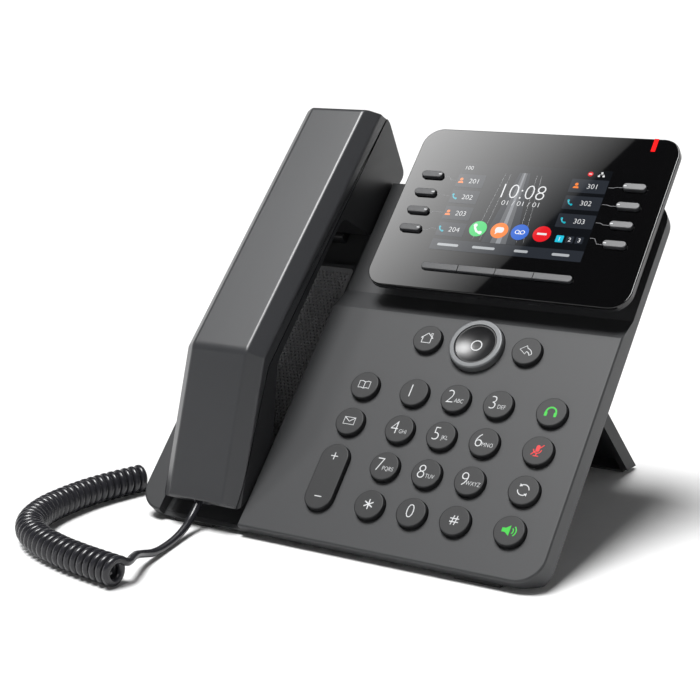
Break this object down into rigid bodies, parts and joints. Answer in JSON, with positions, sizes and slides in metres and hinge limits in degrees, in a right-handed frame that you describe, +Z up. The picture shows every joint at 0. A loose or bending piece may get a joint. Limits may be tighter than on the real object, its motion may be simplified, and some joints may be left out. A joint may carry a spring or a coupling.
{
  "type": "desk ip phone",
  "caption": "Desk telephone: sloped key deck, cradled handset on a curly cord, tilting colour display with side keys, folding rear stand.",
  "frame": {"origin": "on the desk, under the middle of the outline without the cord", "axes": "+X to the right as the user sees it, +Y to the back, +Z up"},
  "size_m": [0.2327, 0.2654, 0.1751],
  "materials": {
    "deck_plastic": "fine spark texture",
    "back_plastic": "fine spark texture",
    "screw_steel": "zinc plated",
    "foot_rubber": "matt",
    "cradle_plastic": "fine texture",
    "speaker_black": "matt",
    "board_green": "solder mask",
    "socket_plastic": "satin",
    "plug_clear": "clear moulded",
    "key_plastic": "soft matt",
    "ring_plastic": "satin grey",
    "gloss_black": "polished",
    "screen": "polished",
    "led_red": "translucent",
    "handset_plastic": "fine spark texture",
    "cord_black": "semi gloss"
  },
  "bodies": {
    "base": {"front_deck": "deck_plastic", "back_cover": "back_plastic", "case_screws": "screw_steel", "front_feet": "foot_rubber", "speaker_grille": "cradle_plastic", "loudspeaker": "speaker_black", "keypad_membrane": "foot_rubber", "circuit_boards": "board_green", "rear_sockets": "socket_plastic", "display_hinge_pin": "screw_steel", "cord_plug_base": "plug_clear", "cord_front_lead": "cord_black", "cord_coil": "cord_black", "cord_rear_lead": "cord_black"},
    "display_head": {"display_glass": "gloss_black", "display_housing": "back_plastic", "lcd_panel": "screen", "message_led": "led_red"},
    "stand": {"stand_panel": "back_plastic", "stand_feet": "foot_rubber"},
    "handset": {"handset_outer_shell": "handset_plastic", "handset_inner_shell": "handset_plastic", "handset_capsules": "speaker_black", "cord_plug_handset": "plug_clear"},
    "key_star": {"key_star": "key_plastic"},
    "key_0": {"key_0": "key_plastic"},
    "key_hash": {"key_hash": "key_plastic"},
    "key_7": {"key_7": "key_plastic"},
    "key_8": {"key_8": "key_plastic"},
    "key_9": {"key_9": "key_plastic"},
    "key_4": {"key_4": "key_plastic"},
    "key_5": {"key_5": "key_plastic"},
    "key_6": {"key_6": "key_plastic"},
    "key_1": {"key_1": "key_plastic"},
    "key_2": {"key_2": "key_plastic"},
    "key_3": {"key_3": "key_plastic"},
    "key_speaker": {"key_speaker": "key_plastic"},
    "key_redial": {"key_redial": "key_plastic"},
    "key_mute": {"key_mute": "key_plastic"},
    "key_headset": {"key_headset": "key_plastic"},
    "key_message": {"key_message": "key_plastic"},
    "key_book": {"key_book": "key_plastic"},
    "key_home": {"key_home": "key_plastic"},
    "key_back": {"key_back": "key_plastic"},
    "volume_rocker": {"volume_rocker": "key_plastic"},
    "nav_ring": {"nav_ring": "ring_plastic"},
    "ok_key": {"ok_key": "gloss_black"},
    "hook_plunger": {"hook_plunger": "key_plastic"},
    "line_key_left_1": {"line_key_left_1": "key_plastic"},
    "line_key_left_2": {"line_key_left_2": "key_plastic"},
    "line_key_left_3": {"line_key_left_3": "key_plastic"},
    "line_key_left_4": {"line_key_left_4": "key_plastic"},
    "line_key_right_1": {"line_key_right_1": "key_plastic"},
    "line_key_right_2": {"line_key_right_2": "key_plastic"},
    "line_key_right_3": {"line_key_right_3": "key_plastic"},
    "line_key_right_4": {"line_key_right_4": "key_plastic"},
    "soft_key_1": {"soft_key_1": "key_plastic"},
    "soft_key_2": {"soft_key_2": "key_plastic"},
    "soft_key_3": {"soft_key_3": "key_plastic"},
    "soft_key_4": {"soft_key_4": "key_plastic"}
  },
  "joints": [
    {"name": "display_tilt", "type": "hinge", "parent": "base", "child": "display_head", "pos_m": [0.03555, -0.00052, 0.10174], "axis": [1, 0, 0], "range_deg": [0, 30]},
    {"name": "stand_fold", "type": "hinge", "parent": "base", "child": "stand", "pos_m": [-0.00085, 0.00948, 0.07577], "axis": [1, 0, 0], "range_deg": [-88, 0]},
    {"name": "handset_lift", "type": "slide", "parent": "base", "child": "handset", "axis": [0, -0.7266, 0.6871], "range_m": [0, 0.06]},
    {"name": "hook_travel", "type": "slide", "parent": "base", "child": "hook_plunger", "axis": [0, -0.7266, 0.6871], "range_m": [0, 0.0024]},
    {"name": "volume_rock", "type": "hinge", "parent": "base", "child": "volume_rocker", "pos_m": [-0.00995, -0.07223, 0.02663], "axis": [1, 0, 0], "range_deg": [-2.5, 2.5], "stiffness_Nm_per_rad": 0.12},
    {"name": "nav_rock", "type": "hinge", "parent": "base", "child": "nav_ring", "pos_m": [0.03465, -0.02218, 0.07956], "axis": [1, 0, 0], "range_deg": [-2.5, 2.5], "stiffness_Nm_per_rad": 0.12},
    {"name": "ok_press", "type": "slide", "parent": "base", "child": "ok_key", "axis": [0, -0.7266, 0.6871], "range_m": [-0.0008, 0], "stiffness_N_per_m": 250, "springref_m": 0.0004},
    {"name": "key_star_press", "type": "slide", "parent": "base", "child": "key_star", "axis": [0, -0.7266, 0.6871], "range_m": [-0.0008, 0], "stiffness_N_per_m": 250, "springref_m": 0.0004},
    {"name": "key_0_press", "type": "slide", "parent": "base", "child": "key_0", "axis": [0, -0.7266, 0.6871], "range_m": [-0.0008, 0], "stiffness_N_per_m": 250, "springref_m": 0.0004},
    {"name": "key_hash_press", "type": "slide", "parent": "base", "child": "key_hash", "axis": [0, -0.7266, 0.6871], "range_m": [-0.0008, 0], "stiffness_N_per_m": 250, "springref_m": 0.0004},
    {"name": "key_7_press", "type": "slide", "parent": "base", "child": "key_7", "axis": [0, -0.7266, 0.6871], "range_m": [-0.0008, 0], "stiffness_N_per_m": 250, "springref_m": 0.0004},
    {"name": "key_8_press", "type": "slide", "parent": "base", "child": "key_8", "axis": [0, -0.7266, 0.6871], "range_m": [-0.0008, 0], "stiffness_N_per_m": 250, "springref_m": 0.0004},
    {"name": "key_9_press", "type": "slide", "parent": "base", "child": "key_9", "axis": [0, -0.7266, 0.6871], "range_m": [-0.0008, 0], "stiffness_N_per_m": 250, "springref_m": 0.0004},
    {"name": "key_4_press", "type": "slide", "parent": "base", "child": "key_4", "axis": [0, -0.7266, 0.6871], "range_m": [-0.0008, 0], "stiffness_N_per_m": 250, "springref_m": 0.0004},
    {"name": "key_5_press", "type": "slide", "parent": "base", "child": "key_5", "axis": [0, -0.7266, 0.6871], "range_m": [-0.0008, 0], "stiffness_N_per_m": 250, "springref_m": 0.0004},
    {"name": "key_6_press", "type": "slide", "parent": "base", "child": "key_6", "axis": [0, -0.7266, 0.6871], "range_m": [-0.0008, 0], "stiffness_N_per_m": 250, "springref_m": 0.0004},
    {"name": "key_1_press", "type": "slide", "parent": "base", "child": "key_1", "axis": [0, -0.7266, 0.6871], "range_m": [-0.0008, 0], "stiffness_N_per_m": 250, "springref_m": 0.0004},
    {"name": "key_2_press", "type": "slide", "parent": "base", "child": "key_2", "axis": [0, -0.7266, 0.6871], "range_m": [-0.0008, 0], "stiffness_N_per_m": 250, "springref_m": 0.0004},
    {"name": "key_3_press", "type": "slide", "parent": "base", "child": "key_3", "axis": [0, -0.7266, 0.6871], "range_m": [-0.0008, 0], "stiffness_N_per_m": 250, "springref_m": 0.0004},
    {"name": "key_speaker_press", "type": "slide", "parent": "base", "child": "key_speaker", "axis": [0, -0.7266, 0.6871], "range_m": [-0.0008, 0], "stiffness_N_per_m": 250, "springref_m": 0.0004},
    {"name": "key_redial_press", "type": "slide", "parent": "base", "child": "key_redial", "axis": [0, -0.7266, 0.6871], "range_m": [-0.0008, 0], "stiffness_N_per_m": 250, "springref_m": 0.0004},
    {"name": "key_mute_press", "type": "slide", "parent": "base", "child": "key_mute", "axis": [0, -0.7266, 0.6871], "range_m": [-0.0008, 0], "stiffness_N_per_m": 250, "springref_m": 0.0004},
    {"name": "key_headset_press", "type": "slide", "parent": "base", "child": "key_headset", "axis": [0, -0.7266, 0.6871], "range_m": [-0.0008, 0], "stiffness_N_per_m": 250, "springref_m": 0.0004},
    {"name": "key_message_press", "type": "slide", "parent": "base", "child": "key_message", "axis": [0, -0.7266, 0.6871], "range_m": [-0.0008, 0], "stiffness_N_per_m": 250, "springref_m": 0.0004},
    {"name": "key_book_press", "type": "slide", "parent": "base", "child": "key_book", "axis": [0, -0.7266, 0.6871], "range_m": [-0.0008, 0], "stiffness_N_per_m": 250, "springref_m": 0.0004},
    {"name": "key_home_press", "type": "slide", "parent": "base", "child": "key_home", "axis": [0, -0.7266, 0.6871], "range_m": [-0.0008, 0], "stiffness_N_per_m": 250, "springref_m": 0.0004},
    {"name": "key_back_press", "type": "slide", "parent": "base", "child": "key_back", "axis": [0, -0.7266, 0.6871], "range_m": [-0.0008, 0], "stiffness_N_per_m": 250, "springref_m": 0.0004},
    {"name": "line_key_left_1_press", "type": "slide", "parent": "display_head", "child": "line_key_left_1", "axis": [0, -0.7266, 0.6871], "range_m": [-0.0006, 0], "stiffness_N_per_m": 250, "springref_m": 0.0003},
    {"name": "line_key_left_2_press", "type": "slide", "parent": "display_head", "child": "line_key_left_2", "axis": [0, -0.7266, 0.6871], "range_m": [-0.0006, 0], "stiffness_N_per_m": 250, "springref_m": 0.0003},
    {"name": "line_key_left_3_press", "type": "slide", "parent": "display_head", "child": "line_key_left_3", "axis": [0, -0.7266, 0.6871], "range_m": [-0.0006, 0], "stiffness_N_per_m": 250, "springref_m": 0.0003},
    {"name": "line_key_left_4_press", "type": "slide", "parent": "display_head", "child": "line_key_left_4", "axis": [0, -0.7266, 0.6871], "range_m": [-0.0006, 0], "stiffness_N_per_m": 250, "springref_m": 0.0003},
    {"name": "line_key_right_1_press", "type": "slide", "parent": "display_head", "child": "line_key_right_1", "axis": [0, -0.7266, 0.6871], "range_m": [-0.0006, 0], "stiffness_N_per_m": 250, "springref_m": 0.0003},
    {"name": "line_key_right_2_press", "type": "slide", "parent": "display_head", "child": "line_key_right_2", "axis": [0, -0.7266, 0.6871], "range_m": [-0.0006, 0], "stiffness_N_per_m": 250, "springref_m": 0.0003},
    {"name": "line_key_right_3_press", "type": "slide", "parent": "display_head", "child": "line_key_right_3", "axis": [0, -0.7266, 0.6871], "range_m": [-0.0006, 0], "stiffness_N_per_m": 250, "springref_m": 0.0003},
    {"name": "line_key_right_4_press", "type": "slide", "parent": "display_head", "child": "line_key_right_4", "axis": [0, -0.7266, 0.6871], "range_m": [-0.0006, 0], "stiffness_N_per_m": 250, "springref_m": 0.0003},
    {"name": "soft_key_1_press", "type": "slide", "parent": "display_head", "child": "soft_key_1", "axis": [0, -0.7266, 0.6871], "range_m": [-0.0006, 0], "stiffness_N_per_m": 250, "springref_m": 0.0003},
    {"name": "soft_key_2_press", "type": "slide", "parent": "display_head", "child": "soft_key_2", "axis": [0, -0.7266, 0.6871], "range_m": [-0.0006, 0], "stiffness_N_per_m": 250, "springref_m": 0.0003},
    {"name": "soft_key_3_press", "type": "slide", "parent": "display_head", "child": "soft_key_3", "axis": [0, -0.7266, 0.6871], "range_m": [-0.0006, 0], "stiffness_N_per_m": 250, "springref_m": 0.0003},
    {"name": "soft_key_4_press", "type": "slide", "parent": "display_head", "child": "soft_key_4", "axis": [0, -0.7266, 0.6871], "range_m": [-0.0006, 0], "stiffness_N_per_m": 250, "springref_m": 0.0003}
  ],
  "couplings": [
    {"joint": "hook_travel", "follows": "handset_lift", "ratio": 0.04}
  ]
}
